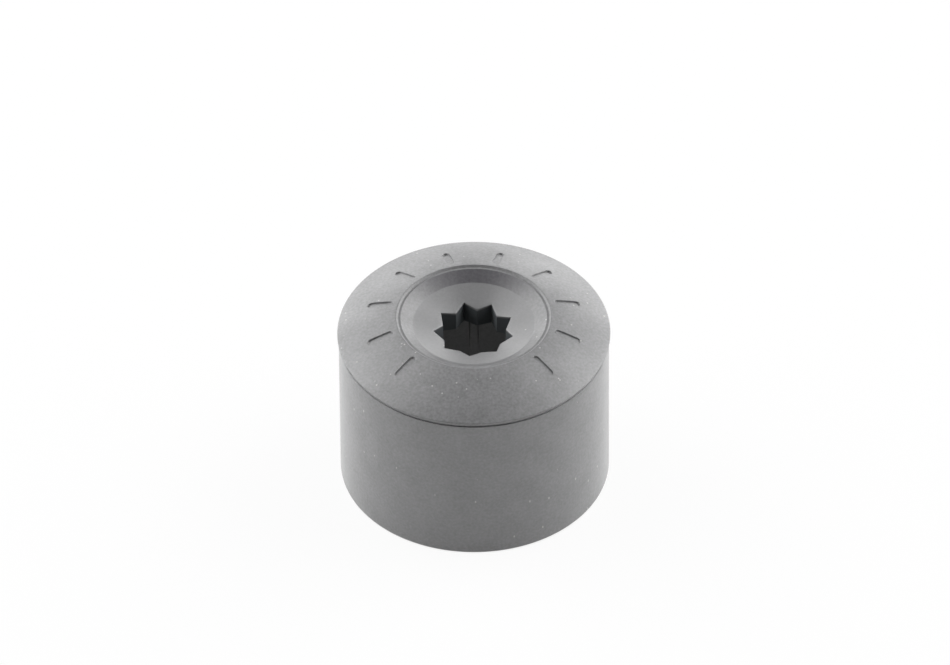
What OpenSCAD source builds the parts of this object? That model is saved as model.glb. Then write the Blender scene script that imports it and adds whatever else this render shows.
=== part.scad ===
// Cover cap that pushes over the head of a wheel bolt, moulded in one piece.
// Open at the bottom, closed by a domed crown with a star-shaped hole for a puller.

/* [Bolt socket] */
// Size across the flats of the bolt head that the cap covers
bolt_af = 17; // [13:0.5:24]
// Clearance between the bolt head and each flat of the socket
socket_gap = 0.15; // [0.05:0.05:0.5]
// How far each crush rib reaches past the clearance to grip the bolt head
rib_grip = 0.05; // [0:0.01:0.15]
// Diameter of the half-round crush ribs, one on each flat
rib_d = 1.1; // [0.8:0.1:2]
// Wall of the hexagonal sleeve, measured at its flats
sleeve_wall = 0.8; // [0.6:0.1:1]
// Thickness of the end wall around the star hole
end_wall = 1.8; // [1.2:0.1:2.6]

/* [Skirt] */
// Overall height of the cap
cap_h = 16.9; // [14:0.1:24]
// Material between the corners of the socket and the outside of the skirt
corner_wall = 1.65; // [1.4:0.05:2.4]
// Wall of the skirt beside the pockets
skirt_wall = 1.05; // [0.8:0.05:1.3]
// Width of the six webs that join sleeve and skirt at the corners
web_w = 2.8; // [1.6:0.1:4]
// Height of the plain round mouth below the lead-in cone
mouth_h = 0.8; // [0.4:0.1:1.6]
// Rounding of the foot of the skirt
foot_round = 0.15; // [0.05:0.05:0.3]

/* [Crown] */
// Radius of the sphere that the crown follows
dome_r = 27; // [20:0.5:60]
// How far the rim of the crown stands out past the skirt
lip_overhang = 0.11; // [0.05:0.01:0.4]
// Radius of the nose of the rim
nose_r = 0.07; // [0.05:0.01:0.12]
// Depth of the shadow groove under the rim, measured from the skirt
neck_depth = 0.1; // [0.05:0.05:0.3]
// Height of the shadow groove under the rim
neck_h = 0.35; // [0.2:0.05:0.6]

/* [Dish] */
// Diameter of the dish in the middle of the crown
dish_d = 13.34; // [12.6:0.02:15]
// Width of the small step around the edge of the dish
step_w = 0.18; // [0.05:0.01:0.3]
// Depth of that step
step_h = 0.15; // [0.1:0.01:0.3]
// Width of the narrow ledge inside the step
ledge_w = 0.2; // [0.1:0.01:0.4]
// Width of the sloping wall of the dish, seen from above
wall_w = 1.04; // [0.8:0.02:1.4]
// Depth of that wall
wall_drop = 0.68; // [0.4:0.02:0.8]
// Slope of the floor of the dish down to the star hole, in degrees
floor_slope = 19.5; // [5:0.5:24]

/* [Star hole] */
// Number of points of the star
star_points = 9; // [7:1:12]
// Radius to the tips of the points
star_tip_r = 3.5; // [3:0.02:4]
// Radius to the valleys between the points
star_valley_r = 2.74; // [2:0.02:2.9]
// Direction of the first point, counter-clockwise from +X, in degrees
star_angle = 23.8; // [0:0.2:40]

/* [Marks] */
// Number of plain radial marks sunk into the crown
mark_count = 10; // [4:1:12]
// Angle between neighbouring marks, in degrees
mark_pitch = 30; // [20:1:30]
// Distance from the edge of the dish to the marks
mark_gap = 0.55; // [0.3:0.05:0.8]
// Length of a mark
mark_l = 2.2; // [1:0.1:2.4]
// Width of a mark
mark_w = 0.6; // [0.3:0.05:1]
// Depth of a mark
mark_depth = 0.15; // [0.1:0.05:0.5]

/* [Hidden] */
$fn = 96;

// Enough to carry a cut clear through the face that it starts from
over = 1;
// Steps along the round stretches of the section
dome_steps = 16;
round_steps = 5;

socket_af = bolt_af + 2 * socket_gap;
flat_r = socket_af / 2;
corner_r = flat_r / cos(30);
rib_h = socket_gap + rib_grip;
rib_face_r = flat_r - rib_h;
sleeve_r = flat_r + sleeve_wall;

skirt_r = corner_r + corner_wall;
mouth_r = skirt_r - skirt_wall;
neck_r = skirt_r - neck_depth;
lip_r = skirt_r + lip_overhang;
dish_r = dish_d / 2;

// The crown's sphere passes through the edge of the dish, the highest circle of the cap
dome_z = cap_h - sqrt(dome_r * dome_r - dish_r * dish_r);
// The nose of the rim is a circle that touches the sphere from inside
nose_x = lip_r - nose_r;
nose_z = dome_z + sqrt(pow(dome_r - nose_r, 2) - nose_x * nose_x);
rim_z = nose_z - nose_r;
dish_tilt = asin(dish_r / dome_r);
nose_tilt = asin(nose_x / (dome_r - nose_r));

ledge_r = dish_r - step_w;
wall_r = ledge_r - ledge_w;
floor_r = wall_r - wall_w;
ledge_z = cap_h - step_h;
floor_z = ledge_z - wall_drop;
function floor_height(r) = floor_z - (floor_r - r) * tan(floor_slope);

ceiling_z = floor_height(star_valley_r) - end_wall;
mark_r = dish_r + mark_gap;
// The marks leave a bare stretch at the front, centred on -Y
first_mark = 90 - mark_pitch * (mark_count - 1) / 2;

// Points of an arc about [x, z], with the angle taken from +X towards +Z
function arc(x, z, r, from, to, steps) =
    [for (i = [0 : steps]) let (a = from + (to - from) * i / steps) [x + r * cos(a), z + r * sin(a)]];

// Half section of the solid cap, from the axis at the foot round to the axis on top
module cap_section() {
    polygon(concat(
        [[0, 0]],
        arc(skirt_r - foot_round, foot_round, foot_round, -90, 0, round_steps),
        [[skirt_r, rim_z - neck_h], [neck_r, rim_z - neck_h], [neck_r, rim_z]],
        arc(nose_x, nose_z, nose_r, -90, 90 - nose_tilt, round_steps),
        arc(0, dome_z, dome_r, 90 - nose_tilt, 90 - dish_tilt, dome_steps),
        [[ledge_r, ledge_z], [wall_r, ledge_z], [floor_r, floor_z], [0, floor_height(0)]]
    ));
}

module cap_blank() {
    rotate_extrude() cap_section();
}

// Hexagon with a flat facing +Y, given by the distance from its centre to a flat
module hexagon(flat_distance) {
    circle(r = flat_distance / cos(30), $fn = 6);
}

// Outline of the socket, narrowed by one half-round crush rib on each flat
module socket_outline() {
    difference() {
        hexagon(flat_r);
        for (side = [0 : 5])
            rotate(30 + 60 * side) translate([rib_face_r + rib_d / 2, 0]) circle(d = rib_d);
    }
}

// The socket for the bolt head, with the round mouth and the cone that leads into it
module socket() {
    translate([0, 0, -over]) linear_extrude(ceiling_z + over) socket_outline();
    translate([0, 0, -over]) cylinder(r = mouth_r, h = mouth_h + over);
    translate([0, 0, mouth_h])
        cylinder(r1 = mouth_r, r2 = rib_face_r, h = mouth_r - rib_face_r);
}

// Six pockets between sleeve and skirt that keep the moulded walls even
module pockets() {
    translate([0, 0, -over]) linear_extrude(ceiling_z + over) difference() {
        circle(r = mouth_r);
        hexagon(sleeve_r);
        for (corner = [0 : 5])
            rotate(60 * corner) translate([0, -web_w / 2]) square([skirt_r, web_w]);
    }
}

// Star-shaped hole through the end wall, where a puller hooks in
module star_hole() {
    half_pitch = 180 / star_points;
    points = [for (i = [0 : 2 * star_points - 1])
        let (r = i % 2 == 0 ? star_tip_r : star_valley_r, a = star_angle + half_pitch * i)
        [r * cos(a), r * sin(a)]];
    translate([0, 0, ceiling_z - over]) linear_extrude(cap_h - ceiling_z + over) polygon(points);
}

// One mark as seen from above: a straight bar with round ends, along +X
module mark_outline() {
    translate([mark_w / 2, -mark_w / 2]) square([mark_l - mark_w, mark_w]);
    for (x = [mark_w / 2, mark_l - mark_w / 2])
        translate([x, 0]) circle(d = mark_w);
}

// The marks are cut down to a sphere that lies one mark depth under the crown
module marks() {
    difference() {
        for (i = [0 : mark_count - 1])
            rotate(first_mark + mark_pitch * i)
                translate([mark_r, 0, dome_z]) linear_extrude(dome_r) mark_outline();
        translate([0, 0, dome_z]) sphere(r = dome_r - mark_depth);
    }
}

module cover_cap() {
    color([0.24, 0.24, 0.25]) difference() {
        cap_blank();
        socket();
        pockets();
        star_hole();
        marks();
    }
}

cover_cap();
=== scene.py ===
"""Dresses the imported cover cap: a moulded shell with soft edges, its plastic, and a studio."""
import math

import bmesh
import bpy
from mathutils import Matrix, Vector


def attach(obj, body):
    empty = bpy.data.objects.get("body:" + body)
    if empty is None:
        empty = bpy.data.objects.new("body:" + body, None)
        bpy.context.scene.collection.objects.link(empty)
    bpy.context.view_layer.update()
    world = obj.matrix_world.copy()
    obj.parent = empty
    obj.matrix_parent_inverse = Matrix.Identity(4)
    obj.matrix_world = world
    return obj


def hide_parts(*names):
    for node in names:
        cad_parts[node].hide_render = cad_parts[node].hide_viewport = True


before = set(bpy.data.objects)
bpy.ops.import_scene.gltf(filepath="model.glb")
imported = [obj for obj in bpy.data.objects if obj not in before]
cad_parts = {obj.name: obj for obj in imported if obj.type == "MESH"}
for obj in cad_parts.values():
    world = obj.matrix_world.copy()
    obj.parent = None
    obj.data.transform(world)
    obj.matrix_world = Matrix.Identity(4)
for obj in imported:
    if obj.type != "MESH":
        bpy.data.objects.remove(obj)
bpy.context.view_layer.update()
CAP_NODE = "cover_cap"

# Sizes of the cap in millimetres, the same as those of the solid
MM = 0.001
BOLT_AF = 17.0
SOCKET_GAP = 0.15
RIB_GRIP = 0.05
RIB_D = 1.1
SLEEVE_WALL = 0.8
END_WALL = 1.8
CAP_H = 16.9
CORNER_WALL = 1.65
SKIRT_WALL = 1.05
WEB_W = 2.8
MOUTH_H = 0.8
FOOT_ROUND = 0.15
DOME_R = 27.0
LIP_OVERHANG = 0.11
NOSE_R = 0.07
NECK_DEPTH = 0.1
NECK_H = 0.35
DISH_D = 13.34
STEP_W = 0.18
STEP_H = 0.15
LEDGE_W = 0.2
WALL_W = 1.04
WALL_DROP = 0.68
FLOOR_SLOPE = math.radians(19.5)
STAR_POINTS = 9
STAR_TIP_R = 3.5
STAR_VALLEY_R = 2.74
STAR_ANGLE = math.radians(23.8)
MARK_COUNT = 10
MARK_PITCH = math.radians(30)
MARK_GAP = 0.55
MARK_L = 2.2
MARK_W = 0.6
MARK_DEPTH = 0.15

FLAT_R = BOLT_AF / 2 + SOCKET_GAP
CORNER_R = FLAT_R / math.cos(math.radians(30))
RIB_FACE_R = FLAT_R - SOCKET_GAP - RIB_GRIP
SLEEVE_R = FLAT_R + SLEEVE_WALL
SKIRT_R = CORNER_R + CORNER_WALL
MOUTH_R = SKIRT_R - SKIRT_WALL
NECK_R = SKIRT_R - NECK_DEPTH
DISH_R = DISH_D / 2
DOME_Z = CAP_H - math.sqrt(DOME_R ** 2 - DISH_R ** 2)
NOSE_X = SKIRT_R + LIP_OVERHANG - NOSE_R
NOSE_Z = DOME_Z + math.sqrt((DOME_R - NOSE_R) ** 2 - NOSE_X ** 2)
NOSE_TILT = math.asin(NOSE_X / (DOME_R - NOSE_R))
RIM_Z = NOSE_Z - NOSE_R
LEDGE_R = DISH_R - STEP_W
WALL_R = LEDGE_R - LEDGE_W
FLOOR_R = WALL_R - WALL_W
LEDGE_Z = CAP_H - STEP_H
FLOOR_Z = LEDGE_Z - WALL_DROP
MARK_R = DISH_R + MARK_GAP
FIRST_MARK = math.radians(90) - MARK_PITCH * (MARK_COUNT - 1) / 2


def floor_height(r):
    """Height of the dish's floor at radius r."""
    return FLOOR_Z - (FLOOR_R - r) * math.tan(FLOOR_SLOPE)


CEILING_Z = floor_height(STAR_VALLEY_R) - END_WALL

# Softness of the moulded edges, in millimetres
STAR_ROUND = 0.08
VALLEY_ROUND = 0.22
DISH_ROUND = 0.06
FLOOR_ROUND = 0.5
LEDGE_ROUND = 0.04
NECK_ROUND = 0.05
MARK_SOFT = 0.035

# How far the sleeve is set into the skirt and the end wall, in millimetres
EMBED = 0.3
# How far a cutting tool reaches past the face that it starts from
OVER = 1.0
# How far the blank's star reaches under the end wall before the bore cuts it off
STAR_BELOW = 0.5
# Radius where the columns of the star's surroundings meet the section
HANDOVER_R = FLOOR_R - 0.3

# Columns of the mesh: in each sector of 30 degrees they run beside the mark, then spread out
SECTORS = 12
BESIDE_MARK = (0.0, 0.09, 0.18, 0.245, 0.27, 0.295, 0.315, 0.34, 0.38)
SPREAD = 20
SECTOR_COLUMNS = 2 * (len(BESIDE_MARK) - 1) + SPREAD
COLUMNS = SECTORS * SECTOR_COLUMNS
FLOOR_RINGS = 7
# Steps of the section's arcs and of its straight stretches
ROUND_STEPS = 4
STAR_STEPS = 5
NOSE_STEPS = 10
FOOT_STEPS = 6
SKIRT_STEPS = 6
RIB_STEPS = 10
TURNED_STEPS = 192
# Rings at each end of the marks, and on the crown between and outside those ends
MARK_END_RINGS = 9
CROWN_RINGS = 6
# The crown's first rings outside the dish, and the margin before its nose, in millimetres
BESIDE_DISH = (0.14, 0.3)
NOSE_MARGIN = 0.15
# Plain stretches of the skirt under the groove and over the rounded foot, and the short ones
# of the foot, of the star's wall and beside the dish, in millimetres
UNDER_NECK = 0.4
OVER_FOOT = 0.2
SHORT = 0.1
# A corner that turns less than this, in radians, stays a point
LEAST_TURN = 0.01
# The most that an arc takes of each side of its corner
MOST_REACH = 0.45
# Edges that turn more than this are shaded sharp
SHARP_FROM = math.radians(32)


def column_angle(column, r):
    """Angle of a column at radius r: beside a mark it keeps its distance from the mark's middle."""
    sector, place = divmod(column, SECTOR_COLUMNS)
    middle = FIRST_MARK + MARK_PITCH * sector
    near = len(BESIDE_MARK) - 1
    edge = math.asin(BESIDE_MARK[-1] / r)
    if place <= near:
        return middle + math.asin(BESIDE_MARK[place] / r)
    if place >= near + SPREAD:
        return middle + MARK_PITCH - math.asin(BESIDE_MARK[SECTOR_COLUMNS - place] / r)
    return middle + edge + (MARK_PITCH - 2 * edge) * (place - near) / SPREAD


def star_angle(column):
    """Angle of a column at the star, where the columns are even and meet every tip and valley."""
    step = 2 * math.pi / COLUMNS
    turn = round((FIRST_MARK - STAR_ANGLE) / step) * step
    return STAR_ANGLE + turn + step * column


def star_radius(angle):
    """Radius of the star's outline at an angle."""
    half = math.pi / STAR_POINTS
    share = abs(((angle - STAR_ANGLE + half) % (2 * half)) - half)
    valley = Vector((STAR_VALLEY_R * math.cos(half), STAR_VALLEY_R * math.sin(half)))
    along = valley - Vector((STAR_TIP_R, 0))
    return STAR_TIP_R * along.y / (along.y * math.cos(share) - along.x * math.sin(share))


def mark_drop(r, angle):
    """Depth that the marks take off the crown at a place given by radius and angle."""
    index = round((angle - FIRST_MARK) / MARK_PITCH)
    if index >= MARK_COUNT:
        return 0.0
    off = angle - FIRST_MARK - MARK_PITCH * index
    along = r * math.cos(off) - MARK_R
    side = r * math.sin(off)
    past_end = max(MARK_W / 2 - along, along - (MARK_L - MARK_W / 2), 0.0)
    outside = math.hypot(side, past_end) - MARK_W / 2
    share = min(max((MARK_SOFT - outside) / (2 * MARK_SOFT), 0.0), 1.0)
    return MARK_DEPTH * share * share * (3 - 2 * share)


def rounded_path(corners):
    """Points along a section whose corners (r, z, rounding) are turned into arcs."""
    path = [corners[0][:2]]
    for before, corner, after in zip(corners, corners[1:], corners[2:]):
        here = Vector(corner[:2])
        back = Vector(before[:2]) - here
        ahead = Vector(after[:2]) - here
        turn = math.pi - back.angle(ahead)
        if corner[2] == 0.0 or turn < LEAST_TURN:
            path.append(tuple(here))
            continue
        reach = min(corner[2] * math.tan(turn / 2), MOST_REACH * back.length, MOST_REACH * ahead.length)
        radius = reach / math.tan(turn / 2)
        start = here + back.normalized() * reach
        inward = (back.normalized() + ahead.normalized()).normalized()
        centre = here + inward * radius / math.cos(turn / 2)
        spoke = start - centre
        side = 1 if back.x * ahead.y - back.y * ahead.x < 0 else -1
        for step in range(ROUND_STEPS + 1):
            a = side * turn * step / ROUND_STEPS
            path.append((centre.x + spoke.x * math.cos(a) - spoke.y * math.sin(a),
                         centre.y + spoke.x * math.sin(a) + spoke.y * math.cos(a)))
    path.append(corners[-1][:2])
    return path


def even(start, end, steps):
    """Evenly spaced values from start to end, both included."""
    return [start + (end - start) * i / steps for i in range(steps + 1)]


def dome_radii():
    """Radii of the crown's rings, close together where the marks begin and end."""
    end_zone = MARK_W / 2 + 2 * MARK_SOFT
    first = MARK_R - 2 * MARK_SOFT
    last = MARK_R + MARK_L + 2 * MARK_SOFT
    radii = [DISH_R + beside for beside in BESIDE_DISH]
    radii += even(first, first + end_zone, MARK_END_RINGS)
    radii += even(first + end_zone, last - end_zone, CROWN_RINGS)[1:-1]
    radii += even(last - end_zone, last, MARK_END_RINGS)
    radii += even(last, NOSE_X - NOSE_MARGIN, CROWN_RINGS)[1:]
    return radii


def outside_section():
    """The section from the dish's wall over the crown and the rim down to the foot."""
    neck_foot = RIM_Z - NECK_H
    skirt_top = neck_foot - UNDER_NECK
    corners = [(HANDOVER_R, floor_height(HANDOVER_R), 0.0), (FLOOR_R, FLOOR_Z, FLOOR_ROUND),
               (WALL_R, LEDGE_Z, LEDGE_ROUND), (LEDGE_R, LEDGE_Z, LEDGE_ROUND),
               (DISH_R, CAP_H, DISH_ROUND)]
    corners += [(r, DOME_Z + math.sqrt(DOME_R ** 2 - r ** 2), 0.0) for r in dome_radii()]
    corners += [(NOSE_X + NOSE_R * math.sin(a), NOSE_Z + NOSE_R * math.cos(a), 0.0)
                for a in even(NOSE_TILT, math.pi, NOSE_STEPS)]
    corners += [(NECK_R, RIM_Z, NECK_ROUND), (NECK_R, neck_foot, NECK_ROUND),
                (SKIRT_R, neck_foot, NECK_ROUND), (SKIRT_R, skirt_top, 0.0)]
    corners += [(SKIRT_R, z, 0.0) for z in even(skirt_top, FOOT_ROUND + OVER_FOOT, SKIRT_STEPS)[1:]]
    corners += [(SKIRT_R - FOOT_ROUND * (1 - math.cos(a)), FOOT_ROUND * (1 - math.sin(a)), 0.0)
                for a in even(0, math.pi / 2, FOOT_STEPS)]
    corners += [(SKIRT_R - FOOT_ROUND - SHORT, 0.0, 0.0)]
    return rounded_path(corners)


def star_column(column):
    """Points of one column from the foot of the star's wall up over its edge and out along the floor."""
    angle = star_angle(column)
    edge = star_radius(angle)
    inward = (STAR_TIP_R - edge) / (STAR_TIP_R - STAR_VALLEY_R)
    soft = STAR_ROUND + (VALLEY_ROUND - STAR_ROUND) * inward ** 3
    centre_r = edge + soft
    centre_z = floor_height(centre_r) - soft / math.cos(FLOOR_SLOPE)
    places = [(edge, CEILING_Z - STAR_BELOW), (edge, CEILING_Z + SHORT), (edge, centre_z - SHORT)]
    places += [(centre_r - soft * math.sin(a), centre_z + soft * math.cos(a))
               for a in even(math.pi / 2, FLOOR_SLOPE, STAR_STEPS)]
    places = [(r, z, angle) for r, z in places]
    start, end = places[-1][0], HANDOVER_R
    outer_angle = column_angle(column, FLOOR_R)
    shift = (outer_angle - angle + math.pi) % (2 * math.pi) - math.pi
    for share in even(0.0, 1.0, FLOOR_RINGS)[1:-1]:
        r = start + (end - start) * share
        smooth = share * share * (3 - 2 * share)
        places.append((r, floor_height(r), angle + shift * smooth))
    return places


def cap_blank():
    """The cap's outside and star as a closed mesh with a plain underside, ready to be hollowed."""
    outside = outside_section()
    crown_end = DISH_R + SHORT
    columns = []
    for column in range(COLUMNS):
        places = star_column(column)
        for r, z in outside:
            angle = column_angle(column, r)
            if r > crown_end and z > RIM_Z + NOSE_R:
                z -= mark_drop(r, angle)
            places.append((r, z, angle))
        columns.append(places)
    mesh = bmesh.new()
    rings = [[mesh.verts.new((r * math.cos(a) * MM, r * math.sin(a) * MM, z * MM)) for r, z, a in ring]
             for ring in zip(*columns)]
    for low, high in zip(rings, rings[1:]):
        for i in range(COLUMNS):
            j = (i + 1) % COLUMNS
            mesh.faces.new((low[i], high[i], high[j], low[j]))
    for ring, height, flip in ((rings[0], CEILING_Z - STAR_BELOW, True), (rings[-1], 0.0, False)):
        centre = mesh.verts.new((0, 0, height * MM))
        for i in range(COLUMNS):
            j = (i + 1) % COLUMNS
            mesh.faces.new((centre, ring[i], ring[j]) if flip else (centre, ring[j], ring[i]))
    bmesh.ops.recalc_face_normals(mesh, faces=mesh.faces)
    return as_object("cap_moulding", mesh)


def as_object(name, mesh):
    """Turns a bmesh into an object of the scene."""
    data = bpy.data.meshes.new(name)
    mesh.to_mesh(data)
    mesh.free()
    made = bpy.data.objects.new(name, data)
    bpy.context.scene.collection.objects.link(made)
    return made


def prism(mesh, outline, bottom, top):
    """Adds an upright prism over an outline given in millimetres."""
    low = [mesh.verts.new((x * MM, y * MM, bottom * MM)) for x, y in outline]
    high = [mesh.verts.new((x * MM, y * MM, top * MM)) for x, y in outline]
    mesh.faces.new(low)
    mesh.faces.new(high)
    for i in range(len(outline)):
        j = (i + 1) % len(outline)
        mesh.faces.new((low[i], low[j], high[j], high[i]))


def turned(points, angle):
    """Points (along, side) of an outline, turned about the axis."""
    return [(n * math.cos(angle) - t * math.sin(angle), n * math.sin(angle) + t * math.cos(angle))
            for n, t in points]


def socket_tool():
    """The hexagonal socket, narrowed by a half-round crush rib on each flat."""
    rib_x = RIB_FACE_R + RIB_D / 2
    reach = math.acos((rib_x - FLAT_R) / (RIB_D / 2))
    flat = [(FLAT_R, -FLAT_R * math.tan(math.radians(30)))]
    flat += [(rib_x - RIB_D / 2 * math.cos(a), RIB_D / 2 * math.sin(a))
             for a in even(-reach, reach, RIB_STEPS)]
    outline = []
    for side in range(6):
        outline += turned(flat, math.radians(30 + 60 * side))
    mesh = bmesh.new()
    prism(mesh, outline, -OVER, CEILING_Z + OVER)
    bmesh.ops.recalc_face_normals(mesh, faces=mesh.faces)
    return as_object("socket_tool", mesh)


def skirt_bore():
    """The space inside the skirt, up to the end wall."""
    return turned_tool("skirt_bore", [(MOUTH_R, -OVER), (MOUTH_R, CEILING_Z)])


def lead_in():
    """The cone that leads the bolt head into the socket, run on below the mouth."""
    top = MOUTH_H + MOUTH_R - RIB_FACE_R
    return turned_tool("lead_in", [(MOUTH_R + MOUTH_H + OVER, -OVER), (RIB_FACE_R, top)])


def sleeve():
    """The hexagonal sleeve with its six webs, set a little into the skirt and the end wall."""
    reach = math.sqrt((MOUTH_R + EMBED) ** 2 - (WEB_W / 2) ** 2)
    root = (SLEEVE_R * math.sin(math.radians(30)) - WEB_W / 2) / math.cos(math.radians(30))
    web = turned([(SLEEVE_R, root)], math.radians(-30)) + [(reach, -WEB_W / 2), (reach, WEB_W / 2)]
    outline = []
    for side in range(6):
        outline += turned(web + turned([(SLEEVE_R, -root)], math.radians(30)), math.radians(60 * side))
    mesh = bmesh.new()
    prism(mesh, outline, MOUTH_H - EMBED, CEILING_Z + EMBED)
    bmesh.ops.recalc_face_normals(mesh, faces=mesh.faces)
    return as_object("sleeve", mesh)


def turned_tool(name, section):
    """A closed solid of revolution over a section given as (radius, height)."""
    mesh = bmesh.new()
    rings = [[mesh.verts.new((r * math.cos(a) * MM, r * math.sin(a) * MM, z * MM))
              for a in even(0, 2 * math.pi, TURNED_STEPS)[:-1]] for r, z in section]
    for low, high in zip(rings, rings[1:]):
        for i in range(TURNED_STEPS):
            j = (i + 1) % TURNED_STEPS
            mesh.faces.new((low[i], low[j], high[j], high[i]))
    mesh.faces.new(rings[0])
    mesh.faces.new(rings[-1])
    bmesh.ops.recalc_face_normals(mesh, faces=mesh.faces)
    return as_object(name, mesh)


def settle(made):
    """Replaces an object's mesh by what its modifiers make of it."""
    bpy.context.view_layer.update()
    seen = made.evaluated_get(bpy.context.evaluated_depsgraph_get())
    result = bpy.data.meshes.new_from_object(seen)
    made.modifiers.clear()
    old = made.data
    made.data = result
    bpy.data.meshes.remove(old)


def boolean(made, tool, operation):
    """Joins or cuts one mesh with another, and removes the tool."""
    cut = made.modifiers.new(operation.lower(), "BOOLEAN")
    cut.operation = operation
    cut.solver = "MANIFOLD"
    cut.object = tool
    settle(made)
    bpy.data.objects.remove(tool)


def cap_moulding():
    """The whole cap: the blank, bored from below, with the sleeve set into it."""
    inner = sleeve()
    boolean(inner, socket_tool(), "DIFFERENCE")
    boolean(inner, lead_in(), "DIFFERENCE")
    cap = cap_blank()
    boolean(cap, skirt_bore(), "DIFFERENCE")
    boolean(cap, inner, "UNION")
    cap.data.shade_smooth()
    cap.data.set_sharp_from_angle(angle=SHARP_FROM)
    return cap


# Finish of the plastic: hazy for the most part, and a darker grey at the back of the dish's wall, which
# is painted shade
HAZE_DARK = (0.097, 0.098, 0.099, 1)
HAZE_LIGHT = (0.287, 0.287, 0.293, 1)
# Painted shade: the darker grey of the back of the dish's wall
SHADED_WALL_DARK = (0.055, 0.053, 0.061, 1)
SHADED_WALL_LIGHT = (0.181, 0.177, 0.189, 1)
# The star hole's colour is painted shade, darker than the body's grey
HOLE_SHADE_COLOUR = (0.1, 0.11, 0.116, 1)
BODY_ROUGH = 0.38
HOLE_ROUGH = 0.6
BODY_IOR = 1.5
# The skin's gloss, and the share of it that the dish's wall and the small step around it lack
SKIN_GLOSS = 0.85
SKIN_ROUGH = 0.24
WALL_DULL = 0.6
STEP_DULL = 0.65

# Grain of the colour: a wide mottle and a fine texture, added up around the middle of the noise
MOTTLE_SCALE = 420.0
MOTTLE_SHARE = 0.35
TEXTURE_SCALE = 4200.0
TEXTURE_SHARE = 0.65
GRAIN_DETAIL = 3.0
GRAIN_MIDDLE = 0.5
# How much stronger the grain is on the crown, and how much weaker on the dish's floor
CROWN_GRAIN = 0.3
FLOOR_CALM = 0.6
# Bump of the surface; its distance is in metres
BUMP_SCALE = 5000.0
BUMP_STRENGTH = 0.32
BUMP_DISTANCE = 0.00002

# Dust: flecks that stand upright, each fading between two radii given in widths of a cell
SPECK_COLOUR = (0.52, 0.52, 0.5, 1)
SPECK_SCALE = 1150.0
SPECK_STRETCH = (1.0, 1.0, 0.5)
SPECK_EDGE = (0.105, 0.055)
SPECK_COVER = 0.75
PATCH_SCALE = 160.0
PATCH_DETAIL = 1.0
PATCH_EDGE = (0.28, 0.6)
# How much dust lies everywhere, and how much more on the crown and low on the skirt's right
DUST = 0.3
CROWN_DUST = 2.4
LOW_DUST = 2.0

# Where the masks of the finish fade from 0 to 1, in millimetres: by radius
WALL_INNER_FADE = (FLOOR_R - 0.02, FLOOR_R + 0.04)
WALL_OUTER_FADE = (WALL_R + 0.03, WALL_R - 0.03)
STEP_INNER_FADE = (WALL_R - 0.06, WALL_R + 0.02)
STEP_OUTER_FADE = (DISH_R + 0.16, DISH_R + 0.04)
HOLE_OUTER_FADE = (FLOOR_R, FLOOR_R - 0.2)
FLOOR_OUTER_FADE = (FLOOR_R + 0.1, FLOOR_R - 0.1)
CROWN_INNER_FADE = (DISH_R, DISH_R + 0.2)
UNDER_CAP_FADE = (SKIRT_R - 0.1, SKIRT_R)
# By height, and by depth under the dish's floor
WALL_FOOT_FADE = (FLOOR_Z - 0.5, FLOOR_Z - 0.2)
HOLE_FOOT_FADE = (CEILING_Z - 0.05, CEILING_Z + 0.05)
FLOOR_FOOT_FADE = (CEILING_Z, CEILING_Z + 0.2)
CROWN_FOOT_FADE = (RIM_Z - 0.1, RIM_Z + 0.1)
LOW_FADE = (10.0, 6.0)
HOLE_DEPTH_FADE = (0.1, 0.22)
# Towards the back, along +Y, and towards the right, along +X
# Where the painted shade on the dish's wall fades in towards the back
SHADED_WALL_FADE = (0.4 * WALL_R, 0.92 * WALL_R)
DULL_FADE = (-0.9 * WALL_R, 0.0)
RIGHT_FADE = (1.0, 6.0)


def node_tree(material):
    """An empty node tree with its output node."""
    material.use_nodes = True
    material.node_tree.nodes.clear()
    return material.node_tree, material.node_tree.nodes.new("ShaderNodeOutputMaterial")


def value_noise(tree, place, scale, detail):
    """A noise texture read in the object's own metres."""
    noise = tree.nodes.new("ShaderNodeTexNoise")
    noise.inputs["Scale"].default_value = scale
    noise.inputs["Detail"].default_value = detail
    tree.links.new(place, noise.inputs["Vector"])
    return noise.outputs["Fac"]


def calculated(tree, operation, *values):
    """A Math node; each value is a socket or a number."""
    node = tree.nodes.new("ShaderNodeMath")
    node.operation = operation
    for socket, value in zip(node.inputs, values):
        if isinstance(value, (int, float)):
            socket.default_value = value
        else:
            tree.links.new(value, socket)
    return node.outputs[0]


def product(tree, *factors):
    """The product of several sockets and numbers."""
    result = factors[0]
    for factor in factors[1:]:
        result = calculated(tree, "MULTIPLY", result, factor)
    return result


def ramp(tree, value, low, high):
    """Rises softly from 0 at low to 1 at high, or falls where low is the larger."""
    node = tree.nodes.new("ShaderNodeMapRange")
    node.interpolation_type = "SMOOTHSTEP"
    falls = low > high
    node.inputs["From Min"].default_value = min(low, high)
    node.inputs["From Max"].default_value = max(low, high)
    node.inputs["To Min"].default_value = 1.0 if falls else 0.0
    node.inputs["To Max"].default_value = 0.0 if falls else 1.0
    tree.links.new(value, node.inputs["Value"])
    return node.outputs["Result"]


def fade(tree, value, limits):
    """A ramp between two limits given in millimetres."""
    return ramp(tree, value, limits[0] * MM, limits[1] * MM)


def mixed(tree, share, first, second, kind="RGBA"):
    """A Mix node of two colours or numbers; each side is a socket or a value."""
    node = tree.nodes.new("ShaderNodeMix")
    node.data_type = kind
    sides = [socket for socket in node.inputs if socket.name in "AB" and socket.type == kind_type(kind)]
    for socket, value in zip(sides, (first, second)):
        if isinstance(value, bpy.types.NodeSocket):
            tree.links.new(value, socket)
        else:
            socket.default_value = value
    tree.links.new(share, node.inputs[0])
    return next(socket for socket in node.outputs if socket.type == kind_type(kind))


def kind_type(kind):
    """The socket type that a Mix node's data type uses."""
    return {"RGBA": "RGBA", "FLOAT": "VALUE"}[kind]


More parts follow.
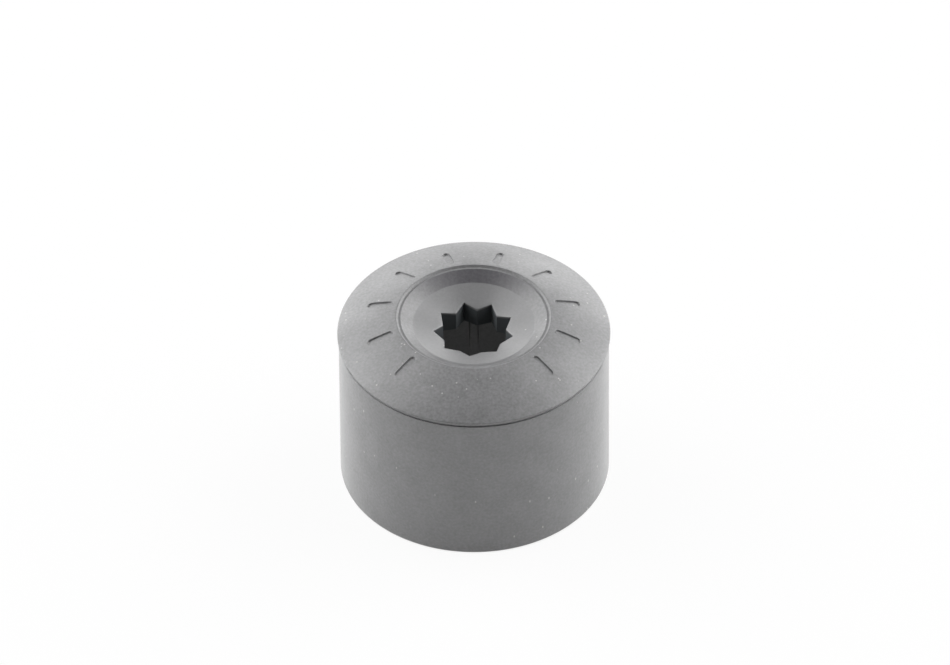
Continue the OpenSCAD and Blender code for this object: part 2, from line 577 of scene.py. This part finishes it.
def specks(tree, place, density):
    """Dust: small upright flecks around scattered points, thinned out and gathered in patches."""
    upright = tree.nodes.new("ShaderNodeVectorMath")
    upright.operation = "MULTIPLY"
    upright.inputs[1].default_value = SPECK_STRETCH
    tree.links.new(place, upright.inputs[0])
    cells = tree.nodes.new("ShaderNodeTexVoronoi")
    cells.inputs["Scale"].default_value = SPECK_SCALE
    tree.links.new(upright.outputs[0], cells.inputs["Vector"])
    chance = tree.nodes.new("ShaderNodeSeparateColor")
    tree.links.new(cells.outputs["Color"], chance.inputs[0])
    patches = value_noise(tree, place, PATCH_SCALE, PATCH_DETAIL)
    kept = calculated(tree, "LESS_THAN", chance.outputs[0],
                      product(tree, ramp(tree, patches, *PATCH_EDGE), density))
    return product(tree, ramp(tree, cells.outputs["Distance"], *SPECK_EDGE), kept, SPECK_COVER)


def finish_masks(tree, place):
    """Masks from 0 to 1 for the parts of the cap whose finish or painted shade differs, by name."""
    split = tree.nodes.new("ShaderNodeSeparateXYZ")
    tree.links.new(place, split.inputs[0])
    x, y, z = split.outputs
    r = calculated(tree, "SQRT", calculated(tree, "ADD", product(tree, x, x), product(tree, y, y)))
    wall = product(tree, fade(tree, r, WALL_INNER_FADE), fade(tree, r, WALL_OUTER_FADE),
                   fade(tree, z, WALL_FOOT_FADE))
    # Height of the dish's floor at each radius, and the depth under it
    surface = calculated(tree, "MULTIPLY_ADD", r, math.tan(FLOOR_SLOPE), floor_height(0) * MM)
    depth = calculated(tree, "SUBTRACT", surface, z)
    return {
        # The mask smooth is painted shade: the back of the dish's wall, painted darker
        "smooth": product(tree, wall, fade(tree, y, SHADED_WALL_FADE)),
        "dull_wall": product(tree, wall, fade(tree, y, DULL_FADE)),
        "step": product(tree, fade(tree, r, STEP_INNER_FADE), fade(tree, r, STEP_OUTER_FADE)),
        # The star hole, whose darker colour is painted shade
        "hole": product(tree, fade(tree, depth, HOLE_DEPTH_FADE), fade(tree, r, HOLE_OUTER_FADE),
                        fade(tree, z, HOLE_FOOT_FADE)),
        "floor": product(tree, fade(tree, r, FLOOR_OUTER_FADE), fade(tree, z, FLOOR_FOOT_FADE)),
        "crown": product(tree, fade(tree, r, CROWN_INNER_FADE), fade(tree, z, CROWN_FOOT_FADE)),
        "low_right": product(tree, fade(tree, x, RIGHT_FADE), fade(tree, z, LOW_FADE)),
    }


def grained(tree, place, masks):
    """The colour's grain around its middle, strongest on the crown and weakest on the dish's floor."""
    mottle = value_noise(tree, place, MOTTLE_SCALE, GRAIN_DETAIL)
    texture = value_noise(tree, place, TEXTURE_SCALE, GRAIN_DETAIL)
    uneven = calculated(tree, "ADD", product(tree, mottle, MOTTLE_SHARE),
                        product(tree, texture, TEXTURE_SHARE))
    strength = calculated(tree, "ADD", 1.0, product(tree, masks["crown"], CROWN_GRAIN))
    strength = calculated(tree, "SUBTRACT", strength, product(tree, masks["floor"], FLOOR_CALM))
    uneven = product(tree, calculated(tree, "SUBTRACT", uneven, GRAIN_MIDDLE), strength)
    return calculated(tree, "ADD", uneven, GRAIN_MIDDLE)


def plastic_colour(tree, place, masks):
    """Base colour: the grained grey with painted shade at the back of the dish's wall, dust on it, and
    painted shade in the star hole.
    """
    grain = grained(tree, place, masks)
    # Painted shade: the back of the dish's wall gets a darker grey
    clean = mixed(tree, masks["smooth"], mixed(tree, grain, HAZE_DARK, HAZE_LIGHT),
                  mixed(tree, grain, SHADED_WALL_DARK, SHADED_WALL_LIGHT))
    density = calculated(tree, "ADD", product(tree, masks["crown"], CROWN_DUST),
                         product(tree, masks["low_right"], LOW_DUST))
    density = calculated(tree, "ADD", density, DUST)
    dusty = mixed(tree, specks(tree, place, density), clean, SPECK_COLOUR)
    # Painted shade: the star hole gets a darker colour
    return mixed(tree, masks["hole"], dusty, HOLE_SHADE_COLOUR)


def plastic():
    """Satin moulded plastic with a glossier skin, which the star hole lacks, and a fine bump."""
    material = bpy.data.materials.new("cap_plastic")
    tree, output = node_tree(material)
    shader = tree.nodes.new("ShaderNodeBsdfPrincipled")
    tree.links.new(shader.outputs["BSDF"], output.inputs["Surface"])
    place = tree.nodes.new("ShaderNodeTexCoord").outputs["Object"]
    masks = finish_masks(tree, place)
    tree.links.new(plastic_colour(tree, place, masks), shader.inputs["Base Color"])
    rough = mixed(tree, masks["hole"], BODY_ROUGH, HOLE_ROUGH, "FLOAT")
    tree.links.new(rough, shader.inputs["Roughness"])
    shader.inputs["IOR"].default_value = BODY_IOR

    dull = calculated(tree, "MAXIMUM", masks["hole"], product(tree, masks["step"], STEP_DULL))
    dull = calculated(tree, "MAXIMUM", dull, product(tree, masks["dull_wall"], WALL_DULL))
    gloss = product(tree, calculated(tree, "SUBTRACT", 1.0, dull), SKIN_GLOSS)
    tree.links.new(gloss, shader.inputs["Coat Weight"])
    shader.inputs["Coat Roughness"].default_value = SKIN_ROUGH

    bump = tree.nodes.new("ShaderNodeBump")
    bump.inputs["Strength"].default_value = BUMP_STRENGTH
    bump.inputs["Distance"].default_value = BUMP_DISTANCE
    tree.links.new(value_noise(tree, place, BUMP_SCALE, GRAIN_DETAIL), bump.inputs["Height"])
    tree.links.new(bump.outputs["Normal"], shader.inputs["Normal"])
    return material


# Share of the floor's own white that the camera and reflections see; the rest takes the shadow
FLOOR_WHITE = 0.93
# What is left of it under the cap in reflections, where little light gets in
UNDER_CAP = 0.27
FLOOR_COLOUR = (0.85, 0.85, 0.85, 1)
# Half the floor's side, in metres
FLOOR_HALF = 1.5


def floor_material():
    """Plain white floor with a soft trace of the shadow, and dark under the cap."""
    material = bpy.data.materials.new("floor_white")
    tree, output = node_tree(material)
    rays = tree.nodes.new("ShaderNodeLightPath")
    distance = tree.nodes.new("ShaderNodeVectorMath")
    distance.operation = "LENGTH"
    tree.links.new(tree.nodes.new("ShaderNodeTexCoord").outputs["Object"], distance.inputs[0])
    outside = fade(tree, distance.outputs["Value"], UNDER_CAP_FADE)
    seen = product(tree, rays.outputs["Is Camera Ray"], outside)
    mirrored = product(tree, rays.outputs["Is Glossy Ray"],
                       calculated(tree, "MAXIMUM", outside, UNDER_CAP))
    share = product(tree, calculated(tree, "MAXIMUM", seen, mirrored), FLOOR_WHITE)
    matte = tree.nodes.new("ShaderNodeBsdfDiffuse")
    matte.inputs["Color"].default_value = FLOOR_COLOUR
    white = tree.nodes.new("ShaderNodeEmission")
    white.inputs["Strength"].default_value = 1.0
    mix = tree.nodes.new("ShaderNodeMixShader")
    tree.links.new(share, mix.inputs["Fac"])
    tree.links.new(matte.outputs[0], mix.inputs[1])
    tree.links.new(white.outputs[0], mix.inputs[2])
    tree.links.new(mix.outputs[0], output.inputs["Surface"])
    return material


def studio_floor():
    """A wide floor under the cap."""
    mesh = bmesh.new()
    corners = [(-1, -1), (1, -1), (1, 1), (-1, 1)]
    mesh.faces.new([mesh.verts.new((x * FLOOR_HALF, y * FLOOR_HALF, 0)) for x, y in corners])
    ground = as_object("studio_floor", mesh)
    ground.data.materials.append(floor_material())


# Strength of the even light from all around
WORLD_FILL = 0.02
# The white backdrop fades in with a direction's share along +Y, and out with its share along +Z
BACKDROP_SIDE_FADE = (0.25, 0.75)
BACKDROP_TOP_FADE = (0.6, 0.05)


def studio_world():
    """White to the camera, a white backdrop in reflections that fades upwards, and a faint fill."""
    world = bpy.data.worlds.new("studio")
    bpy.context.scene.world = world
    world.use_nodes = True
    tree = world.node_tree
    tree.nodes.clear()
    output = tree.nodes.new("ShaderNodeOutputWorld")
    rays = tree.nodes.new("ShaderNodeLightPath")
    seen = tree.nodes.new("ShaderNodeBackground")
    seen.inputs["Strength"].default_value = 1.0
    lit = tree.nodes.new("ShaderNodeBackground")
    lit.inputs["Strength"].default_value = WORLD_FILL
    split = tree.nodes.new("ShaderNodeSeparateXYZ")
    tree.links.new(tree.nodes.new("ShaderNodeTexCoord").outputs["Generated"], split.inputs[0])
    behind = product(tree, ramp(tree, split.outputs[1], *BACKDROP_SIDE_FADE),
                     ramp(tree, split.outputs[2], *BACKDROP_TOP_FADE), rays.outputs["Is Glossy Ray"])
    white = calculated(tree, "MAXIMUM", behind, rays.outputs["Is Camera Ray"])
    mix = tree.nodes.new("ShaderNodeMixShader")
    tree.links.new(white, mix.inputs["Fac"])
    tree.links.new(lit.outputs[0], mix.inputs[1])
    tree.links.new(seen.outputs[0], mix.inputs[2])
    tree.links.new(mix.outputs[0], output.inputs["Surface"])


# Distance of the lamps from the cap, in metres
LAMP_DISTANCE = 1.1
# Softboxes: direction counter-clockwise from +X and height above the floor in degrees, side in
# metres, power in watts
SOFTBOXES = {
    "side_left": (178, 12, 1.0, 3.8),
    "side_right": (2, 12, 0.9, 1.5),
    "back_left": (140, 12, 0.9, 3.7),
    "back_right": (40, 12, 0.9, 4.2),
    "behind_left": (108, 12, 0.5, 0.6),
    "behind_right": (72, 12, 0.5, 0.9),
    "raised_left": (165, 30, 1.1, 4.9),
    "raised_back_left": (125, 30, 0.9, 2.0),
    "raised_back_right": (55, 30, 0.9, 0.9),
    "raised_right": (15, 30, 1.1, 8.2),
    "high_left": (170, 52, 0.9, 2.6),
    "high_back_left": (135, 52, 0.7, 0.9),
    "high_back_right": (45, 52, 0.7, 0.5),
    "high_right": (10, 52, 0.9, 2.7),
    "overhead": (90, 80, 0.8, 0.5),
}


def softbox(name, direction, height, side, power):
    """A square area lamp that faces the cap and stays out of the picture."""
    lamp = bpy.data.lights.new(name, "AREA")
    lamp.shape = "SQUARE"
    lamp.size = side
    lamp.energy = power
    a, e = math.radians(direction), math.radians(height)
    place = Vector((math.cos(e) * math.cos(a), math.cos(e) * math.sin(a), math.sin(e))) * LAMP_DISTANCE
    made = bpy.data.objects.new(name, lamp)
    made.location = place
    made.rotation_euler = (-place).to_track_quat("-Z", "Y").to_euler()
    made.visible_camera = False
    bpy.context.scene.collection.objects.link(made)


# The photograph's camera: a long lens, with the cap's foot centre at a known pixel of its frame
FRAME_W = 950
FRAME_H = 665
CAMERA_ELEVATION = math.radians(42.45)
CAMERA_DISTANCE = 1.2
CAMERA_ROLL = 0.008
FOCAL_PX = 13835
FOOT_PX = (474.86, 461.36)
# Width of the sensor in millimetres, and the nearest distance that shows, in metres
SENSOR_W = 36.0
CLIP_START = 0.01


def studio_camera():
    """Places the camera so that the cap's foot centre falls on its pixel."""
    away = Vector((0, -math.cos(CAMERA_ELEVATION), math.sin(CAMERA_ELEVATION)))
    ahead = -away
    right = Vector((1, 0, 0))
    up = right.cross(ahead)
    pitch = math.atan2(FOOT_PX[1] - FRAME_H / 2, FOCAL_PX)
    yaw = math.atan2(FOOT_PX[0] - FRAME_W / 2, FOCAL_PX)
    axes = Matrix((right, up, away)).transposed()
    aim = Matrix.Rotation(pitch, 3, "X") @ Matrix.Rotation(yaw, 3, "Y")
    turn = Matrix.Rotation(CAMERA_ROLL, 3, ahead) @ axes @ aim
    data = bpy.data.cameras.new("camera")
    data.sensor_width = SENSOR_W
    data.lens = FOCAL_PX / FRAME_W * SENSOR_W
    data.clip_start = CLIP_START
    made = bpy.data.objects.new("camera", data)
    made.matrix_world = Matrix.Translation(away * CAMERA_DISTANCE) @ turn.to_4x4()
    bpy.context.scene.collection.objects.link(made)
    bpy.context.scene.camera = made


cap = cap_moulding()
cap.data.materials.clear()
cap.data.materials.append(plastic())
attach(cap, "root")
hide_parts(CAP_NODE)

studio_floor()
studio_world()
for name, setting in SOFTBOXES.items():
    softbox(name, *setting)
studio_camera()

bpy.context.scene.view_settings.view_transform = "Standard"
